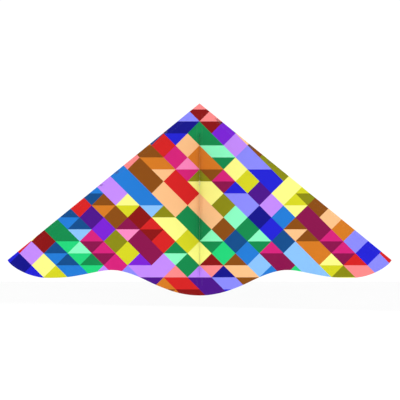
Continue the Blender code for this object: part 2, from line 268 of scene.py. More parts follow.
def ranged(tree, value, low, high, to_low, to_high):
    node = tree.nodes.new("ShaderNodeMapRange")
    for name, number in (("From Min", low), ("From Max", high), ("To Min", to_low), ("To Max", to_high)):
        node.inputs[name].default_value = number
    tree.links.new(value, node.inputs["Value"])
    return node.outputs["Result"]


def stretched(tree, vector, scale):
    node = tree.nodes.new("ShaderNodeMapping")
    node.inputs["Scale"].default_value = scale
    tree.links.new(vector, node.inputs["Vector"])
    return node.outputs["Vector"]


def group(name, inputs, outputs):
    """An empty node group: inputs are (name, type, value), outputs (name, type)."""
    tree = bpy.data.node_groups.new(name, "ShaderNodeTree")
    for label, kind, value in inputs:
        socket = tree.interface.new_socket(label, in_out="INPUT", socket_type=kind)
        if value is not None:
            socket.default_value = value
    for label, kind in outputs:
        tree.interface.new_socket(label, in_out="OUTPUT", socket_type=kind)
    return tree, tree.nodes.new("NodeGroupInput").outputs, tree.nodes.new("NodeGroupOutput").inputs


def wave(tree, coordinate, period):
    """A sine of a coordinate, from 0 to 1."""
    turn = maths(tree, "MULTIPLY", coordinate, maths(tree, "DIVIDE", 2 * pi, period))
    return maths(tree, "MULTIPLY_ADD", maths(tree, "SINE", turn), 0.5, 0.5)


def ridge(tree, coordinate, period, width):
    """1 on a narrow rib that comes back every period, 0 between the ribs."""
    away = maths(tree, "PINGPONG", coordinate, maths(tree, "DIVIDE", period, 2))
    return maths(tree, "SUBTRACT", 1, maths(tree, "SMOOTH_MIN", maths(tree, "DIVIDE", away, width), 1, 0.3))


def make_ripstop():
    """Plain weave with a heavier double thread every few millimetres each way."""
    tree, given, made = group("ripstop_weave", (
        ("Cloth", "NodeSocketVector", None),
        ("Thread", "NodeSocketFloat", 0.00042),
        ("Grid", "NodeSocketFloat", 0.0052),
    ), (("Height", "NodeSocketFloat"), ("Shade", "NodeSocketFloat"), ("Roughness", "NodeSocketFloat")))
    parts = tree.nodes.new("ShaderNodeSeparateXYZ")
    tree.links.new(given["Cloth"], parts.inputs[0])
    warp, weft = parts.outputs["X"], parts.outputs["Y"]
    weave = maths(tree, "MULTIPLY", wave(tree, warp, given["Thread"]), wave(tree, weft, given["Thread"]))
    rib_width = maths(tree, "MULTIPLY", given["Thread"], 1.1)
    ribs = maths(tree, "MAXIMUM", ridge(tree, warp, given["Grid"], rib_width),
                 ridge(tree, weft, given["Grid"], rib_width))
    ribs = maths(tree, "MAXIMUM", ribs, 0)
    uneven = noise_at(tree, given["Cloth"], 900, 2)
    height = maths(tree, "MULTIPLY_ADD", ribs, 1.4, weave)
    tree.links.new(maths(tree, "MULTIPLY_ADD", uneven, 0.3, height), made["Height"])
    shade = maths(tree, "MULTIPLY_ADD", ribs, -0.05, 1.0)
    tree.links.new(maths(tree, "MULTIPLY_ADD", weave, 0.03, shade), made["Shade"])
    tree.links.new(maths(tree, "MULTIPLY_ADD", ribs, 0.08, maths(tree, "MULTIPLY_ADD", uneven, 0.16, 0.46)),
                   made["Roughness"])
    return tree


def make_handling():
    """Faint cloudiness, creases from the packing and a little grime."""
    tree, given, made = group("handling", (
        ("Cloth", "NodeSocketVector", None),
        ("Amount", "NodeSocketFloat", 1.0),
    ), (("Shade", "NodeSocketFloat"), ("Crease", "NodeSocketFloat")))
    cloud = ranged(tree, noise_at(tree, given["Cloth"], 7, 4), 0.3, 0.7, -0.022, 0.012)
    grime = ranged(tree, noise_at(tree, given["Cloth"], 60, 5, 0.65), 0.62, 0.8, 0, -0.05)
    both = maths(tree, "MULTIPLY", maths(tree, "ADD", cloud, grime), given["Amount"])
    tree.links.new(maths(tree, "ADD", 1.0, both), made["Shade"])
    folded = tree.nodes.new("ShaderNodeTexVoronoi")
    folded.feature = "DISTANCE_TO_EDGE"
    folded.inputs["Scale"].default_value = 9
    tree.links.new(given["Cloth"], folded.inputs["Vector"])
    crease = ranged(tree, folded.outputs["Distance"], 0, 0.02, 1, 0)
    tree.links.new(maths(tree, "MULTIPLY", crease, given["Amount"]), made["Crease"])
    return tree


def make_ribbing():
    """Woven tape: ribs across it, finer threads along it, and slightly fuzzy."""
    tree, given, made = group("tape_ribbing", (
        ("Cloth", "NodeSocketVector", None),
        ("Rib", "NodeSocketFloat", 0.0010),
        ("Thread", "NodeSocketFloat", 0.0007),
    ), (("Height", "NodeSocketFloat"), ("Shade", "NodeSocketFloat")))
    parts = tree.nodes.new("ShaderNodeSeparateXYZ")
    tree.links.new(given["Cloth"], parts.inputs[0])
    ribs = wave(tree, parts.outputs["Y"], given["Rib"])
    threads = wave(tree, parts.outputs["X"], given["Thread"])
    fuzz = noise_at(tree, given["Cloth"], 1300, 3)
    height = maths(tree, "MULTIPLY_ADD", threads, 0.6, ribs)
    tree.links.new(maths(tree, "MULTIPLY_ADD", fuzz, 0.5, height), made["Height"])
    woven = maths(tree, "MULTIPLY", ribs, maths(tree, "MULTIPLY_ADD", threads, 0.5, 0.5))
    tree.links.new(maths(tree, "MULTIPLY_ADD", woven, 0.5, maths(tree, "MULTIPLY_ADD", fuzz, 0.4, 0.45)),
                   made["Shade"])
    return tree


def make_scuffs():
    """Rubbed patches and fine scratches on a hard part: 1 where it is rubbed."""
    tree, given, made = group("scuffs", (
        ("Place", "NodeSocketVector", None),
        ("Amount", "NodeSocketFloat", 0.5),
    ), (("Mask", "NodeSocketFloat"), ("Height", "NodeSocketFloat")))
    patches = ranged(tree, noise_at(tree, given["Place"], 55, 4, 0.6), 0.52, 0.72, 0, 1)
    scratches = ranged(tree, noise_at(tree, stretched(tree, given["Place"], (40, 900, 900)), 1, 2),
                       0.6, 0.68, 0, 1)
    rubbed = maths(tree, "MULTIPLY", maths(tree, "MAXIMUM", patches, scratches), given["Amount"])
    tree.links.new(rubbed, made["Mask"])
    tree.links.new(noise_at(tree, given["Place"], 2500, 2), made["Height"])
    return tree


RIPSTOP = make_ripstop()
HANDLING = make_handling()
RIBBING = make_ribbing()
SCUFFS = make_scuffs()


def use(tree, which, **values):
    """Places a group in a material, with its inputs set or linked."""
    node = tree.nodes.new("ShaderNodeGroup")
    node.node_tree = which
    for name, value in values.items():
        link(tree, value, node.inputs[name])
    return node.outputs


def material(name, **settings):
    """A new material and its shader, with plain values set on the shader's own sockets."""
    made = bpy.data.materials.new(name)
    made.use_nodes = True
    shader = made.node_tree.nodes["Principled BSDF"]
    for socket, value in settings.items():
        shader.inputs[socket.replace("_", " ")].default_value = value
    return made, made.node_tree, shader.inputs


def relief(tree, height, distance, strength=1.0, normal=None):
    node = tree.nodes.new("ShaderNodeBump")
    node.inputs["Strength"].default_value = strength
    node.inputs["Distance"].default_value = distance
    tree.links.new(height, node.inputs["Height"])
    if normal is not None:
        tree.links.new(normal, node.inputs["Normal"])
    return node.outputs["Normal"]


def cloth_place(tree):
    """The place on the flat cloth, in metres."""
    node = tree.nodes.new("ShaderNodeUVMap")
    node.uv_map = "cloth"
    return node.outputs["UV"]


def own_place(tree):
    return tree.nodes.new("ShaderNodeTexCoord").outputs["Object"]


def round_loop(tree):
    """The place on a loop that bends in y and z: across it, and roughly along it."""
    parts = tree.nodes.new("ShaderNodeSeparateXYZ")
    tree.links.new(own_place(tree), parts.inputs[0])
    joined = tree.nodes.new("ShaderNodeCombineXYZ")
    tree.links.new(parts.outputs["X"], joined.inputs["X"])
    tree.links.new(maths(tree, "ADD", parts.outputs["Y"], parts.outputs["Z"]), joined.inputs["Y"])
    return joined.outputs[0]


def grey(tree, value):
    node = tree.nodes.new("ShaderNodeCombineColor")
    for socket in node.inputs:
        tree.links.new(value, socket)
    return node.outputs[0]


def make_printed_ripstop():
    made, tree, shader = material("printed_ripstop", Specular_IOR_Level=0.05, Sheen_Weight=0.01,
                                  Sheen_Roughness=0.5)
    place = cloth_place(tree)
    ink = tree.nodes.new("ShaderNodeAttribute")
    ink.attribute_name = "print"
    weave = use(tree, RIPSTOP, Cloth=place)
    worn = use(tree, HANDLING, Cloth=place, Amount=0.8)
    shade = grey(tree, maths(tree, "MULTIPLY", weave["Shade"], worn["Shade"]))
    tree.links.new(mixed(tree, "MULTIPLY", 1.0, ink.outputs["Color"], shade), shader["Base Color"])
    tree.links.new(weave["Roughness"], shader["Roughness"])
    folds = relief(tree, worn["Crease"], 0.00012, 0.25)
    tree.links.new(relief(tree, weave["Height"], 0.00003, 0.5, folds), shader["Normal"])
    return made


def make_thread():
    made, tree, shader = material("sewing_thread", Specular_IOR_Level=0.3, Sheen_Weight=0.2)
    place = own_place(tree)
    twist = noise_at(tree, place, 2600, 2)
    shade = grey(tree, ranged(tree, twist, 0.3, 0.7, 0.56, 0.80))
    ink = tree.nodes.new("ShaderNodeAttribute")
    ink.attribute_name = "print"
    thread_colour = mixed(tree, "MIX", ink.outputs["Alpha"], shade, ink.outputs["Color"])
    tree.links.new(thread_colour, shader["Base Color"])
    tree.links.new(ranged(tree, twist, 0, 1, 0.45, 0.7), shader["Roughness"])
    tree.links.new(relief(tree, twist, 0.00008, 0.6), shader["Normal"])
    return made


def make_tape(name, tape_place):
    made, tree, shader = material(name, Specular_IOR_Level=0.15, Sheen_Weight=0.08, Sheen_Roughness=0.5)
    place = tape_place(tree)
    ribs = use(tree, RIBBING, Cloth=place)
    worn = use(tree, HANDLING, Cloth=place, Amount=2.0)
    shade = grey(tree, maths(tree, "MULTIPLY", ribs["Shade"], worn["Shade"]))
    colour = mixed(tree, "MULTIPLY", 1.0, (0.030, 0.032, 0.038, 1), shade)
    tree.links.new(colour, shader["Base Color"])
    tree.links.new(ranged(tree, ribs["Shade"], 0.5, 1.2, 0.85, 0.62), shader["Roughness"])
    tree.links.new(relief(tree, ribs["Height"], 0.00018, 0.9), shader["Normal"])
    return made


def make_rod():
    """Pultruded glass fibre: dark resin with pale streaks of fibre along the rod."""
    made, tree, shader = material("pultruded_rod", Specular_IOR_Level=0.45, Coat_Weight=0.15,
                                  Coat_Roughness=0.25)
    place = own_place(tree)
    fibre = noise_at(tree, stretched(tree, place, (30, 1600, 30)), 1, 4, 0.6)
    mottle = noise_at(tree, place, 35, 3)
    rubbed = use(tree, SCUFFS, Place=place, Amount=0.35)
    ramp = ranged(tree, fibre, 0.35, 0.75, 0.0, 0.6)
    colour = mixed(tree, "MIX", ramp, (0.012, 0.013, 0.015, 1), (0.060, 0.062, 0.066, 1))
    colour = mixed(tree, "MIX", rubbed["Mask"], colour, (0.10, 0.10, 0.105, 1))
    tree.links.new(colour, shader["Base Color"])
    gloss = maths(tree, "MULTIPLY_ADD", mottle, 0.18, 0.27)
    tree.links.new(maths(tree, "MULTIPLY_ADD", rubbed["Mask"], 0.25, gloss), shader["Roughness"])
    tree.links.new(relief(tree, fibre, 0.00005, 0.4), shader["Normal"])
    return made


def make_vinyl():
    """Black moulded vinyl with a fine spark-eroded grain and rubbed places."""
    made, tree, shader = material("moulded_vinyl", Specular_IOR_Level=0.4)
    place = own_place(tree)
    rubbed = use(tree, SCUFFS, Place=place, Amount=0.55)
    cloud = noise_at(tree, place, 120, 3)
    colour = mixed(tree, "MIX", cloud, (0.016, 0.016, 0.018, 1), (0.030, 0.030, 0.033, 1))
    colour = mixed(tree, "MIX", rubbed["Mask"], colour, (0.060, 0.060, 0.064, 1))
    tree.links.new(colour, shader["Base Color"])
    tree.links.new(ranged(tree, rubbed["Mask"], 0, 1, 0.52, 0.34), shader["Roughness"])
    tree.links.new(relief(tree, rubbed["Height"], 0.00006, 0.5), shader["Normal"])
    return made


def make_alloy():
    made, tree, shader = material("drawn_aluminium", Metallic=1.0)
    place = own_place(tree)
    drawn = noise_at(tree, stretched(tree, place, (60, 2400, 60)), 1, 3)
    rubbed = use(tree, SCUFFS, Place=place, Amount=0.6)
    colour = mixed(tree, "MIX", drawn, (0.70, 0.71, 0.73, 1), (0.84, 0.85, 0.86, 1))
    colour = mixed(tree, "MIX", rubbed["Mask"], colour, (0.60, 0.60, 0.61, 1))
    tree.links.new(colour, shader["Base Color"])
    rough = maths(tree, "MULTIPLY_ADD", drawn, 0.18, 0.20)
    tree.links.new(maths(tree, "MULTIPLY_ADD", rubbed["Mask"], 0.15, rough), shader["Roughness"])
    tree.links.new(relief(tree, drawn, 0.00003, 0.3), shader["Normal"])
    return made


def make_nickel():
    made, tree, shader = material("nickel_plate", Metallic=1.0)
    place = own_place(tree)
    rubbed = use(tree, SCUFFS, Place=place, Amount=0.7)
    tarnish = noise_at(tree, place, 260, 4)
    colour = mixed(tree, "MIX", tarnish, (0.78, 0.75, 0.69, 1), (0.62, 0.58, 0.51, 1))
    colour = mixed(tree, "MIX", rubbed["Mask"], colour, (0.86, 0.83, 0.78, 1))
    tree.links.new(colour, shader["Base Color"])
    tree.links.new(ranged(tree, tarnish, 0.3, 0.7, 0.16, 0.34), shader["Roughness"])
    tree.links.new(relief(tree, rubbed["Height"], 0.00002, 0.3), shader["Normal"])
    return made


def make_floor_paint():
    made, tree, shader = material("pale_floor", Specular_IOR_Level=0.0, Roughness=0.9)
    cloud = noise_at(tree, own_place(tree), 1.2, 3)
    shade = grey(tree, ranged(tree, cloud, 0.3, 0.7, 0.943, 0.95))
    tree.links.new(shade, shader["Base Color"])
    return made


PRINTED = make_printed_ripstop()
THREAD = make_thread()
TAPE = make_tape("woven_tape", cloth_place)
LOOP_TAPE = make_tape("loop_tape", round_loop)
ROD = make_rod()
VINYL = make_vinyl()
ALLOY = make_alloy()
NICKEL = make_nickel()


# Pieces

def finished(name, shape, finish, body=None, smooth_angle=40):
    """Turns a bmesh into a piece with its material and slot, which rides on a body when one is given."""
    data = bpy.data.meshes.new(name)
    shape.to_mesh(data)
    shape.free()
    data.materials.append(finish)
    data.shade_smooth()
    data.set_sharp_from_angle(angle=radians(smooth_angle))
    piece = bpy.data.objects.new(name, data)
    bpy.context.scene.collection.objects.link(piece)
    if body:
        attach(piece, body)
    return piece


def bends_at_fold(piece):
    """Bakes into its mesh the placement of cloth that crosses the fold line beside the spine. Nothing here
    makes it bend.
    """
    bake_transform(piece)


def flat_uv(shape, place=lambda co: (co.x, co.z)):
    """Lays the cloth out flat, in metres."""
    layer = shape.loops.layers.uv.get("cloth") or shape.loops.layers.uv.new("cloth")
    for face in shape.faces:
        for loop in face.loops:
            loop[layer].uv = place(loop.vert.co)


def thicken(shape, thickness=CLOTH):
    bmesh.ops.solidify(shape, geom=shape.faces[:], thickness=thickness)


def strip(across, along, width, length, place):
    """A strip of cloth, made as a grid whose corners are moved to place(u, v), u and v from 0 to 1."""
    shape = bmesh.new()
    layer = shape.loops.layers.uv.new("cloth")
    bmesh.ops.create_grid(shape, x_segments=across, y_segments=along, size=0.5, calc_uvs=False)
    for face in shape.faces:
        for loop in face.loops:
            loop[layer].uv = ((loop.vert.co.x + 0.5) * width, (loop.vert.co.y + 0.5) * length)
    for vert in shape.verts:
        vert.co = place(vert.co.x + 0.5, vert.co.y + 0.5)
    return shape


def line_length(points):
    return sum((b - a).length for a, b in zip(points, points[1:]))


def along_line(points, share):
    """The point a share of the way along a line of points."""
    runs = [(b - a).length for a, b in zip(points, points[1:])]
    left = clamp(share, 0, 1) * sum(runs)
    for a, b, run in zip(points, points[1:], runs):
        if left <= run:
            return a.lerp(b, left / run)
        left -= run
    return points[-1].copy()


# Outline of the sail and its slack

def leading_edge_z(x):
    return NOSE_Z + (TIP_Z - NOSE_Z) * x / HALF_SPAN


def make_trailing_edge():
    """Points (x, 0, z) from the centre seam out to the wing tip."""
    spans = [
        ((0, TAIL_Z), (0.160, TAIL_Z), (CREST[0] - 0.113, CREST[1]), CREST),
        (CREST, (CREST[0] + 0.071, CREST[1]), (LOBE[0] - 0.127, LOBE[1]), LOBE),
        (LOBE, (LOBE[0] + 0.109, LOBE[1]), (HALF_SPAN - 0.002, TIP_Z - 0.013), (HALF_SPAN, TIP_Z)),
    ]
    points = []
    for span in spans:
        knots = [Vector((x, 0, z)) for x, z in span]
        points += interpolate_bezier(*knots, EDGE_STEPS)[:-1]
    return points + [Vector((HALF_SPAN, 0, TIP_Z))]


TRAILING_EDGE = make_trailing_edge()


def trailing_edge_z(x):
    for a, b in zip(TRAILING_EDGE, TRAILING_EDGE[1:]):
        if a.x <= x <= b.x:
            return a.z + (b.z - a.z) * (x - a.x) / max(b.x - a.x, 1e-9)
    return TIP_Z


def slack(x, z):
    """How far the slack cloth lies behind the plane of the spars."""
    out = abs(x)
    edge = HALF_SPAN * (NOSE_Z - z) / (NOSE_Z - TIP_Z)
    width = edge - 0.034 - BEND_END
    if width <= 0.01:
        return 0.0
    share = clamp((out - BEND_END) / width, 0, 1)
    held = sin(pi * share)
    belly = 0.0085 * min(1, width / 0.40) * held
    above = max(z - trailing_edge_z(out), 0)
    loose = exp(-(above / 0.055) ** 2) * smooth(share * 5) * smooth((HALF_SPAN - out) / 0.12)
    flutter = 0.0034 * loose * sin(2 * pi * out / 0.121 + 0.9 + 0.4 * sin(7 * x))
    from_tip = hypot(out - HALF_SPAN, z - TIP_Z)
    from_nose = hypot(out, z - NOSE_Z)
    tip_pull = 0.0007 * exp(-from_tip / 0.22) * sin(46 * (z - TIP_Z) / max(from_tip, 0.02))
    nose_pull = 0.0006 * exp(-from_nose / 0.25) * sin(40 * out / max(from_nose, 0.02))
    puckers = 0.0011 * noise.noise(Vector((x * 11, 2.0, z * 11))) * held
    return belly + flutter + (tip_pull + nose_pull) * smooth(share * 6) * smooth((1 - share) * 6) + puckers


def on_leading_edge(side, distance, inset=SPAR_INSET, y=ROD_Y):
    """A point at a distance from the nose along a leading edge, and inset from it."""
    point = Vector((0, y, NOSE_Z)) + LE_DIRECTION * distance + LE_INWARD * inset
    return Vector((side * point.x, point.y, point.z))


# Stitches

FRONT = Vector((0, -1, 0))
BACK = Vector((0, 1, 0))


def stitches(rows, pitch=STITCH_PITCH, dyed_front=True):
    """Rows of lockstitches. A row is a line of points, the side that it faces, and its lift from the line.

    The thread on the front of the sail takes the colour of the print.
    """
    bar = bmesh.new()
    bmesh.ops.create_uvsphere(bar, u_segments=6, v_segments=4, radius=1)
    bar.verts.index_update()
    corners = [vert.co.copy() for vert in bar.verts]
    sides = [[vert.index for vert in face.verts] for face in bar.faces]
    bar.free()
    shape = bmesh.new()
    layer = shape.loops.layers.float_color.new("print")
    for points, facing, lift in rows:
        dyed = THREAD_DYE if dyed_front and facing is FRONT else 0
        count = max(1, round(line_length(points) / pitch))
        for number in range(count):
            start, end = (along_line(points, (number + share) / count) for share in (0.0, STITCH_SHARE))
            run = (end - start).normalized()
            turn = Matrix((run, facing.cross(run).normalized(), facing)).transposed().to_4x4()
            size = Matrix.Diagonal(((end - start).length / 2, THREAD_R, THREAD_R, 1))
            place = Matrix.Translation((start + end) / 2 + facing * lift) @ turn @ size
            made = [shape.verts.new(place @ corner) for corner in corners]
            colour = print_colour(start.x, start.z)
            for side in sides:
                for loop in shape.faces.new([made[index] for index in side]).loops:
                    loop[layer] = (*colour, dyed)
    return shape


def inside_edge(points, distance):
    """A line moved to its left, into the cloth, along its own normals."""
    moved = []
    for number, point in enumerate(points):
        before, after = points[max(number - 1, 0)], points[min(number + 1, len(points) - 1)]
        run = (after - before).normalized()
        moved.append(point + Vector((-run.z, 0, run.x)) * distance)
    return moved


# Sail

PRINT_PARTS = 8


def make_sail(side, label):
    shape = bmesh.new()
    outline = [Vector((0, 0, NOSE_Z)), *TRAILING_EDGE]
    corners = [shape.verts.new((side * p.x, 0, p.z)) for p in outline]
    shape.faces.new(corners if side > 0 else corners[::-1])
    cut_along_print(shape, PRINT_PARTS)
    bmesh.ops.triangulate(shape, faces=[face for face in shape.faces if len(face.verts) > 4])
    flat_uv(shape)
    for vert in shape.verts:
        vert.co.y = slack(vert.co.x, vert.co.z)
    shape.normal_update()
    if sum(face.normal.y for face in shape.faces) > 0:
        bmesh.ops.reverse_faces(shape, faces=shape.faces[:])
    dye(shape)
    thicken(shape)
    shape.normal_update()
    fade_back(shape)
    sail = finished(f"sail_cloth_{label}", shape, PRINTED)
    bends_at_fold(sail)
    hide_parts(f"sail_{label}")
    return sail


def make_hem(side, label):
    """The trailing edge folded to the back and sewn down."""
    last = 0.998

    def place(u, v):
        outer_point = along_line(TRAILING_EDGE, v * last)
        run = (along_line(TRAILING_EDGE, v * last + 0.002) - outer_point).normalized()
        spot = outer_point + Vector((-run.z, 0, run.x)) * (HEM_WIDTH * u)
        x = side * max(spot.x, 0)
        return Vector((x, slack(x, spot.z) + CLOTH + SEAM_LIFT * min(1, u * 12), spot.z))

    shape = strip(6, 150, HEM_WIDTH, line_length(TRAILING_EDGE), place)
    cut_along_print(shape)
    dye(shape)
    thicken(shape)
    hem = finished(f"folded_hem_{label}", shape, PRINTED)
    bends_at_fold(hem)
    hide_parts(f"trailing_edge_hem_{label}")

    inner = [p for p in inside_edge(TRAILING_EDGE, HEM_WIDTH * 0.78) if 0.001 < p.x < 0.785]
    line = [Vector((side * p.x, slack(side * p.x, p.z), p.z)) for p in inner]
    rows = stitches([(line, BACK, CLOTH + SEAM_LIFT + CLOTH), (line, FRONT, 0.0001)])
    seam = finished(f"hem_stitches_{label}", rows, THREAD)
    bends_at_fold(seam)
    return [hem, seam]


# Sleeves

def arc_points(start, end, steps, radius=SLEEVE_R):
    """Points round a rod's axis, seen along the rod, at angles from start to end."""
    angles = [radians(start + (end - start) * step / steps) for step in range(steps + 1)]
    return [Vector((radius * cos(a), ROD_Y + radius * sin(a), 0)) for a in angles]


FLANGE_RISE = [Vector((0.0062, 0.0013, 0)), Vector((0.0076, 0.0009, 0))]


def flange(width):
    """From the round of a sleeve down to the sail, and out along it."""
    return FLANGE_RISE + [Vector((width, 0.0008, 0))]


def mirrored(points):
    return [Vector((-p.x, p.y, p.z)) for p in reversed(points)]


FOLDED_EDGE = [Vector((-SPAR_INSET, 0.0002, 0)), Vector((0.0003 - SPAR_INSET, 0.0014, 0))]
EDGE_SECTION = FOLDED_EDGE + arc_points(200, -40, 16) + flange(SLEEVE_FLANGE)
SPINE_SECTION = mirrored(flange(0.014)) + arc_points(218, -38, 16) + flange(0.014)


def sleeve_spot(section, share, swell):
    """A point of a sleeve's section: swell pushes its round part outward."""
    point = along_line(section, share)
    if point.y > 0.0025:
        point += Vector((point.x, point.y - ROD_Y, 0)).normalized() * swell
    return point


def sleeve_cloth(section, start, end, spot, inward):
    """Cloth round a rod, with its ends turned under: its section runs from spot(start) to spot(end)."""
    length = end - start

    def place(u, v):
        distance = start + length * v
        ripple = noise.noise(Vector((distance * 42, inward.x * 5, u * 2.5)))
        from_end = min(v, 1 - v) * length
        doubled = SLEEVE_HEM_RISE * (1 - smooth((from_end - SLEEVE_HEM) / 0.0012))
        point = sleeve_spot(section, u, 0.00018 + 0.00022 * ripple * smooth(from_end / 0.03) + doubled)
        flat_rise = doubled if point.y <= 0.0025 and u > 0.1 else 0
        return spot(distance) + inward * point.x + BACK * (point.y + flat_rise)

    shape = strip(24, round(length / 0.003 if length < 0.1 else length / 0.005), line_length(section), length,
                  place)
    cut_along_print(shape)
    if inward.x > 0:
        bmesh.ops.reverse_faces(shape, faces=shape.faces[:])
    dye(shape)
    thicken(shape, 0.00022)
    return shape


def ring_stitches(section, spot, inward, distance):
    """Rows of stitches across a sleeve, over its round back."""
    rows = []
    steps = 12
    points = [sleeve_spot(section, 0.04 + 0.92 * step / steps, 0.00045) for step in range(steps + 1)]
    for a, b in zip(points, points[1:]):
        line = [spot(distance) + inward * p.x + BACK * p.y for p in (a, b)]
        across = (b - a).normalized()
        outward = inward * across.y - BACK * across.x
        if outward.y < -0.2:
            outward = -outward
        rows.append((line, outward.normalized(), 0.00030))
    return rows


def make_edge_sleeves(side, label):
    """The sail's leading edge folded back round the spar, sewn down, and cut out at the spreader."""
    made = []
    inward = Vector((side * LE_INWARD.x, 0, LE_INWARD.z))
    spans = {"upper": (SLEEVE_START, PIVOT_DISTANCE - WINDOW_HALF),
             "lower": (PIVOT_DISTANCE + WINDOW_HALF, SLEEVE_END)}

    def spot(distance):
        return on_leading_edge(side, distance, SPAR_INSET, 0)

    for part, (start, end) in spans.items():
        shape = sleeve_cloth(EDGE_SECTION, start, end, spot, inward)
        sleeve = finished(f"sewn_sleeve_{part}_{label}", shape, PRINTED, f"{label}_wing")
        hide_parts(f"leading_edge_sleeve_{part}_{label}")

        rows = []
        for inset in (SPAR_INSET + 0.0088, SPAR_INSET + 0.0128):
            line = [on_leading_edge(side, s, inset, 0) for s in (start + 0.002, end - 0.002)]
            rows += [(line, BACK, 0.00115), (line, FRONT, 0.0001)]
        for distance in (start + SLEEVE_HEM - 0.0012, end - SLEEVE_HEM + 0.0012):
            rows += ring_stitches(EDGE_SECTION, spot, inward, distance)
        seam = finished(f"sleeve_stitches_{part}_{label}", stitches(rows), THREAD,
                        f"{label}_wing")
        made += [sleeve, seam]
    return made


def make_edge_hems(side, label):
    """The bare stretches of leading edge, at the nose, the spreader and the tip, hemmed flat."""
    made = []
    rows = []
    stretches = {"nose": (0.024, SLEEVE_START), "tip": (SLEEVE_END, 1.0312),
                 "spreader": (PIVOT_DISTANCE - WINDOW_HALF, PIVOT_DISTANCE + WINDOW_HALF)}
    for part, (start, end) in stretches.items():

        def place(u, v):
            spot = on_leading_edge(side, start + (end - start) * v, 0.0002 + 0.007 * u, 0)
            return spot + BACK * (0.0003 + 0.0003 * min(1, u * 12))

        shape = strip(4, 8, 0.007, end - start, place)
        cut_along_print(shape)
        dye(shape)
        thicken(shape, 0.0002)
        made.append(finished(f"edge_hem_{part}_{label}", shape, PRINTED, f"{label}_wing"))
        line = [on_leading_edge(side, s, 0.0055, 0) for s in (start + 0.001, end - 0.001)]
        rows.append((line, BACK, 0.00085))
    made.append(finished(f"edge_hem_stitches_{label}", stitches(rows), THREAD, f"{label}_wing"))
    return made


def on_spine(height):
    return Vector((0, 0, height))


def make_spine_cloth():
    """The stiff band on the centre seam, and the sleeve behind it in two lengths."""
    spans = {"upper": (TEE_WINDOW_HALF, SPINE_TOP - POCKET_REACH - 0.0003),
             "lower": (SPINE_BOTTOM + POCKET_REACH + 0.0003, -TEE_WINDOW_HALF)}
    made = []
    rows = []
    for part, (low, high) in spans.items():
        shape = sleeve_cloth(SPINE_SECTION, low, high, on_spine, Vector((1, 0, 0)))
        sleeve = finished(f"sewn_spine_sleeve_{part}", shape, PRINTED, "spine")
        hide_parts(f"spine_sleeve_{part}")
        made.append(sleeve)
        for x in (-0.0122, -0.0088, 0.0088, 0.0122):
            line = [Vector((x, 0, z)) for z in (low + 0.002, high - 0.002)]
            rows += [(line, BACK, 0.00115), (line, FRONT, 0.0001)]
        for height in (low + SLEEVE_HEM - 0.0012, high - SLEEVE_HEM + 0.0012):
            rows += ring_stitches(SPINE_SECTION, on_spine, Vector((1, 0, 0)), height)
    made.append(finished("spine_sleeve_stitches", stitches(rows), THREAD, "spine"))

    low_edge = TAIL_Z + HEM_WIDTH + 0.001

    def place(u, v):
        x = BAND_HALF * (2 * u - 1)
        high = leading_edge_z(abs(x)) - 0.012
        return Vector((x, 0.00045, low_edge + (high - low_edge) * v))

    band = strip(4, 80, 2 * BAND_HALF, NOSE_Z - TAIL_Z, place)
    cut_along_print(band)
    dye(band)
    thicken(band, 0.0002)
    band = finished("spine_stiffener", band, PRINTED, "spine")
    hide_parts("centre_band")
    return made + [band]


# Pockets of woven tape over the ends of the rods

def pocket(name, section, spot, inward, end, replaced, body):
    """Tape folded over a rod's end: open towards the rod, and sewn flat onto the sail past it."""
    length = POCKET_REACH + POCKET_TOP

    def place(u, v):
        distance = v * length - POCKET_REACH
        closing = smooth((distance - 0.0022) / 0.0030)
        point = sleeve_spot(section, u, 0.0003)
        point += (along_line((section[0], section[-1]), u) - point) * 0.94 * closing
        return spot(distance) + inward * point.x + BACK * max(point.y, 0.0009)

    shape = strip(40, 40, line_length(section), length, place)
    if inward.dot(Vector((1, 0, 0))) * end > 0:
        bmesh.ops.reverse_faces(shape, faces=shape.faces[:])
    thicken(shape, 0.0005)
    made = finished(name, shape, TAPE, body, 60)
    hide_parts(replaced)
    rows = []
    low, high = -POCKET_REACH + 0.0012, POCKET_TOP - 0.0010
    left, right = section[0].x + 0.0011, section[-1].x - 0.0011
    for x in (left, left + 0.0014, right - 0.0014, right) if left < -SPAR_INSET else (right - 0.0014, right):
        rows.append(([spot(s) + inward * x for s in (low, high)], BACK, 0.00150))
    rows.append(([spot(high) + inward * x for x in (left, right)], BACK, 0.00165))
    seam = finished(f"{name}_stitches", stitches(rows, 0.0024), THREAD, body)
    return [made, seam]


def make_pockets():
    section = mirrored(flange(0.0105)) + arc_points(218, -38, 16) + flange(0.0105)
    made = pocket("nose_tape_pocket", section, lambda s: Vector((0, 0, SPINE_TOP + s)), Vector((1, 0, 0)), 1,
                  "nose_pocket", "spine")
    made += pocket("tail_tape_pocket", section, lambda s: Vector((0, 0, SPINE_BOTTOM - s)),
                   Vector((1, 0, 0)), -1, "tail_pocket", "spine")
    return made


def make_tip_pocket(side, label):
    section = [Vector((0.0003 - SPAR_INSET, 0.0008, 0))] + arc_points(205, -38, 16) + flange(0.0105)
    return pocket(f"tip_tape_pocket_{label}", section,
                  lambda s: on_leading_edge(side, SPAR_END + s, SPAR_INSET, 0),
                  Vector((side * LE_INWARD.x, 0, LE_INWARD.z)), -1, f"tip_pocket_{label}", f"{label}_wing")


# Keel, made flat in the plane of the sail with its free corner towards -X, then turned to the front

KEEL_TURN = Matrix.Rotation(pi / 2, 4, "Z")


def rounded_corner(before, corner, after, radius, steps=14):
    """Points of the arc that rounds a corner between two straight edges, and its centre."""
    to_before, to_after = (before - corner).normalized(), (after - corner).normalized()
    half = to_before.angle(to_after) / 2
    centre = corner + (to_before + to_after).normalized() * (radius / sin(half))
    start = corner + to_before * (radius / tan(half)) - centre
    finish = corner + to_after * (radius / tan(half)) - centre
    return [centre + start.slerp(finish, step / steps) * radius for step in range(steps + 1)], centre


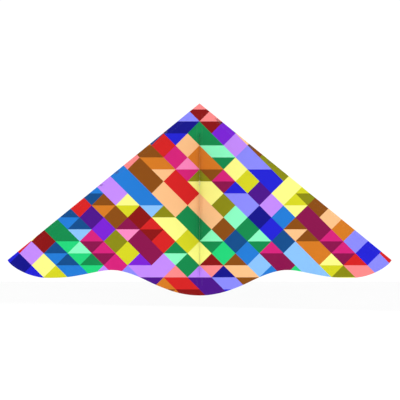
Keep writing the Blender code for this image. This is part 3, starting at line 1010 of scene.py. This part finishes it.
KEEL_HIGH, KEEL_LOW = Vector((KEEL_Y, 0, KEEL_TOP)), Vector((KEEL_Y, 0, KEEL_BOTTOM))
TOW_ARC, TOW_CENTRE = rounded_corner(KEEL_HIGH, Vector((TOW_CORNER[0], 0, TOW_CORNER[1])), KEEL_LOW,
                                     TOW_CORNER_R)
KEEL_EDGE = [KEEL_HIGH] + TOW_ARC + [KEEL_LOW]
EYELET = TOW_CENTRE + Vector((EYELET_BACK, 0, 0))
KEEL_CLOTH_INSET = 0.0012  # the cloth ends inside its binding
KEEL_SEAM_REACH = 0.0009
KEEL_STITCH_INSET = 0.0016
PATCH_HOLE_R = 0.0050


def centre_dye(centre):
    """The print's place on the centre seam at the same height."""
    return 0.0, centre.z


def cut_level_with_print(shape):
    """Cuts a mesh level wherever the print's lines cross the centre seam."""
    heights = [vert.co.z for vert in shape.verts]
    for _, grow_z in FAMILIES:
        numbers = [grow_z * z for z in (min(heights), max(heights))]
        for line in range(ceil(min(numbers)), floor(max(numbers)) + 1):
            z = line / grow_z
            bmesh.ops.bisect_plane(shape, geom=shape.verts[:] + shape.edges[:] + shape.faces[:],
                                   dist=0.00001, plane_co=(0, 0, z), plane_no=(0, 0, 1))


def keel_slack(x, z):
    """Slight fullness of the keel's cloth between its bound edges."""
    depth = clamp((KEEL_Y - x) / 0.16, 0, 1)
    return 0.0006 * sin(pi * depth) * sin(2 * pi * z / 0.23 + 3 * depth)


def make_keel():
    turned = []
    outline = inside_edge(KEEL_EDGE, KEEL_CLOTH_INSET)
    into_seam = Vector((KEEL_SEAM_REACH, 0, 0))
    outline[0], outline[-1] = KEEL_HIGH + into_seam, KEEL_LOW + into_seam
    panel = bmesh.new()
    panel.faces.new([panel.verts.new(p) for p in outline])
    cut_along_print(panel, PRINT_PARTS)
    bmesh.ops.triangulate(panel, faces=[face for face in panel.faces if len(face.verts) > 4])
    flat_uv(panel)
    hole_reach = EYELET_BORE + 0.0006
    hole = [face for face in panel.faces if (face.calc_center_median() - EYELET).length < hole_reach]
    bmesh.ops.delete(panel, geom=hole, context="FACES")
    for vert in panel.verts:
        vert.co.y = keel_slack(vert.co.x, vert.co.z)
    dye(panel)
    thicken(panel)
    turned.append(("keel_cloth", panel, PRINTED, "keel_fabric", "keel_panel"))

    section = [Vector(p) for p in ((BINDING, 0.00042, 0), (0.0014, 0.00050, 0), (0.0003, 0.00042, 0),
                                   (0, 0, 0), (0.0003, -0.00042, 0), (0.0014, -0.00050, 0),
                                   (BINDING, -0.00042, 0))]

    def bound(u, v):
        point = along_line(section, u)
        spot = along_line(KEEL_EDGE, v)
        ahead, behind = along_line(KEEL_EDGE, min(1, v + 0.002)), along_line(KEEL_EDGE, max(0, v - 0.002))
        run = (ahead - behind).normalized()
        spot = spot + Vector((-run.z, 0, run.x)) * point.x
        return Vector((min(spot.x, KEEL_Y), point.y, spot.z))

    binding = strip(12, 150, line_length(section), line_length(KEEL_EDGE), bound)
    cut_level_with_print(binding)
    dye(binding, centre_dye)
    thicken(binding, 0.00018)
    turned.append(("keel_edge_binding", binding, PRINTED, "keel_fabric", "keel_binding"))

    for label, facing in (("left", 1), ("right", -1)):
        patch = bmesh.new()
        bmesh.ops.create_circle(patch, segments=48, radius=PATCH_R)
        rim = bmesh.ops.extrude_edge_only(patch, edges=patch.edges[:])["geom"]
        ring = [part for part in rim if isinstance(part, bmesh.types.BMVert)]
        bmesh.ops.scale(patch, vec=(PATCH_HOLE_R / PATCH_R,) * 3, verts=ring)
        lift = Matrix.Translation(EYELET + BACK * facing * 0.0007)
        patch.transform(lift @ Matrix.Rotation(pi / 2, 4, "X"))
        cut_level_with_print(patch)
        patch.normal_update()
        if sum(face.normal.y for face in patch.faces) * facing > 0:
            bmesh.ops.reverse_faces(patch, faces=patch.faces[:])
        dye(patch, centre_dye)
        thicken(patch, 0.0009)
        flat_uv(patch)
        turned.append((f"tow_patch_{label}", patch, PRINTED, "keel_fabric", f"keel_patch_{label}"))

    made = []
    for name, shape, finish, slot, node in turned:
        shape.transform(KEEL_TURN)
        made.append(finished(name, shape, finish, "keel"))
        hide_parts(node)

    rows = []
    edge = [along_line(KEEL_EDGE, step / 120) for step in range(121)]
    edge_line = [p for p in inside_edge(edge, BINDING - KEEL_STITCH_INSET) if p.x < KEEL_Y - 0.003]
    circle_line = [EYELET + Vector((cos(a), 0, sin(a))) * (PATCH_R - KEEL_STITCH_INSET)
                   for a in (radians(12 * step) for step in range(31))]
    for facing in (FRONT, BACK):
        rows += [(edge_line, facing, 0.00062), (circle_line, facing, 0.0017)]
    seam = stitches(rows, dyed_front=False)
    seam.transform(KEEL_TURN)
    made.append(finished("keel_stitches", seam, THREAD, "keel"))
    return made


def make_keel_seam():
    """Folded tape on the front of the sail, that the keel is sewn to."""
    section = [Vector(p) for p in ((-0.0065, -0.00050, 0), (-0.0014, -0.00056, 0), (-0.0006, -0.00080, 0),
                                   (-0.0002, -0.00102, 0), (0.0002, -0.00102, 0), (0.0006, -0.00080, 0),
                                   (0.0014, -0.00056, 0), (0.0065, -0.00050, 0))]
    height = KEEL_TOP - KEEL_BOTTOM

    def place(u, v):
        point = along_line(section, u)
        return Vector((point.x, point.y, KEEL_BOTTOM + height * v))

    shape = strip(16, 120, line_length(section), height, place)
    cut_along_print(shape)
    dye(shape)
    thicken(shape, 0.0002)
    tape = finished("keel_seam_tape", shape, PRINTED, "spine")
    rows = [([Vector((x, 0, z)) for z in (KEEL_BOTTOM + 0.002, KEEL_TOP - 0.002)], FRONT, 0.0006)
            for x in (-0.0045, 0.0045)]
    seam = finished("keel_seam_stitches", stitches(rows), THREAD, "spine")
    return [tape, seam]


def spun(profile, centre, axis_turn):
    """A closed profile of (radius, height) points spun about an axis."""
    shape = bmesh.new()
    points = [shape.verts.new((radius, 0, height)) for radius, height in profile]
    edges = [shape.edges.new((a, b)) for a, b in zip(points, points[1:] + points[:1])]
    bmesh.ops.spin(shape, geom=points + edges, cent=(0, 0, 0), axis=(0, 0, 1), angle=2 * pi, steps=56,
                   use_merge=True)
    bmesh.ops.remove_doubles(shape, verts=shape.verts[:], dist=0.000001)
    bmesh.ops.recalc_face_normals(shape, faces=shape.faces[:])
    shape.transform(Matrix.Translation(centre) @ axis_turn)
    return shape


def rolled_flange(inner, outer, low, high):
    """Half a ring's section: flat underneath, rounded over the top and round the rim."""
    middle, reach, rise = (inner + outer) / 2, (outer - inner) / 2, high - low
    steps = 12
    return [(middle - reach * cos(pi * step / steps), low + rise * sin(pi * step / steps) ** 0.55)
            for step in range(steps + 1)]


def make_eyelet():
    """Two rolled rings on the tow corner, and the barrel through it."""
    face, top = 0.0017, 0.0027
    centre = Vector((0, EYELET.x, EYELET.z))
    across = Matrix.Rotation(pi / 2, 4, "Y")
    grommet = ([(EYELET_BORE, -top + 0.0004), (EYELET_BORE, face + 0.0003)]
               + rolled_flange(EYELET_BORE + 0.0001, EYELET_FLANGE, face, top)
               + [(0.0044, face), (0.0044, -top + 0.0004)])
    ring = finished("tow_eyelet", spun(grommet, centre, across), NICKEL, "keel", 50)
    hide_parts("tow_grommet")
    washer = [(radius, -height) for radius, height in rolled_flange(0.0045, EYELET_FLANGE, face, top)]
    back_ring = finished("tow_eyelet_back", spun(washer, centre, across), NICKEL, "keel", 50)
    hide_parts("tow_washer")


def sail_area():
    spans = zip(TRAILING_EDGE, TRAILING_EDGE[1:])
    return sum((b.x - a.x) * (leading_edge_z((a.x + b.x) / 2) - (a.z + b.z) / 2) for a, b in spans)


spine_cloth = make_spine_cloth() + make_pockets() + make_keel_seam()
for side, label in SIDES:
    sail = make_sail(side, label)
    sewn_on = make_hem(side, label) + make_edge_sleeves(side, label) + make_edge_hems(side, label)
    sewn_on += make_tip_pocket(side, label)
    if label == "right":
        sewn_on += spine_cloth
    sail_area()

keel_pieces = make_keel()
make_eyelet()


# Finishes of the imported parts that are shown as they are

FINISHES = {
    ROD: ("spine_rod", "leading_edge_spar", "spreader_rod"),
    VINYL: ("spine_nose_cap", "spine_tail_cap", "centre_tee", "stop_ring", "spar_nose_cap", "spar_tip_cap",
            "spreader_connector", "spreader_eye"),
    ALLOY: ("spar_ferrule", "pivot_pin"),
    LOOP_TAPE: ("tail_loop",),
}

for finish, names in FINISHES.items():
    for node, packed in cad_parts.items():
        if node.startswith(names):
            for slot in packed.material_slots:
                slot.material = finish


# Floor, light and camera

def make_floor():
    shape = bmesh.new()
    bmesh.ops.create_grid(shape, x_segments=1, y_segments=1, size=9,
                          matrix=Matrix.Translation((0, 0, TAIL_Z - 0.6)))
    data = bpy.data.meshes.new("floor")
    shape.to_mesh(data)
    shape.free()
    data.materials.append(make_floor_paint())
    floor_piece = bpy.data.objects.new("floor", data)
    bpy.context.scene.collection.objects.link(floor_piece)


def make_softbox(name, place, aim, size, power):
    data = bpy.data.lights.new(name, "AREA")
    data.shape = "SQUARE"
    data.size = size
    data.energy = power
    lamp = bpy.data.objects.new(name, data)
    lamp.location = place
    lamp.rotation_euler = (Vector(aim) - Vector(place)).to_track_quat("-Z", "Y").to_euler()
    bpy.context.scene.collection.objects.link(lamp)


def make_overhead():
    """Broad light from straight above, which keeps the floor as white as the background."""
    data = bpy.data.lights.new("overhead", "SUN")
    data.energy = 2.2
    data.angle = radians(60)
    bpy.context.scene.collection.objects.link(bpy.data.objects.new("overhead", data))


def make_room_light():
    """Even white light from all round, and a plain white background."""
    world = bpy.data.worlds.new("studio")
    world.use_nodes = True
    tree = world.node_tree
    seen, lit = tree.nodes["Background"], tree.nodes.new("ShaderNodeBackground")
    seen.inputs["Color"].default_value = (1, 1, 1, 1)
    seen.inputs["Strength"].default_value = 1.05
    lit.inputs["Color"].default_value = (1, 1, 1, 1)
    lit.inputs["Strength"].default_value = ROOM_LIGHT
    path, mix = tree.nodes.new("ShaderNodeLightPath"), tree.nodes.new("ShaderNodeMixShader")
    tree.links.new(path.outputs["Is Camera Ray"], mix.inputs["Fac"])
    tree.links.new(lit.outputs["Background"], mix.inputs[1])
    tree.links.new(seen.outputs["Background"], mix.inputs[2])
    tree.links.new(mix.outputs["Shader"], tree.nodes["World Output"].inputs["Surface"])
    bpy.context.scene.world = world


ROOM_LIGHT = 0.32
VIEW_CENTRE = (0.0019, -0.0275)
VIEW_WIDTH = 1.6667
LENS_MM = 100
SENSOR_MM = 36


def make_camera():
    data = bpy.data.cameras.new("camera")
    data.lens = LENS_MM
    data.sensor_width = SENSOR_MM
    camera = bpy.data.objects.new("camera", data)
    camera.location = (VIEW_CENTRE[0], -VIEW_WIDTH * LENS_MM / SENSOR_MM, VIEW_CENTRE[1])
    camera.rotation_euler = (pi / 2, 0, 0)
    bpy.context.scene.collection.objects.link(camera)
    bpy.context.scene.camera = camera


make_floor()
make_room_light()
make_softbox("key_softbox", (0.0, -5.2, 0.7), (0, 0, 0), 1.0, 128)
make_overhead()
make_softbox("back_softbox", (1.2, 4.6, 1.6), (0, 0, 0), 2.0, 95)
make_camera()
bpy.context.scene.view_settings.view_transform = "Standard"
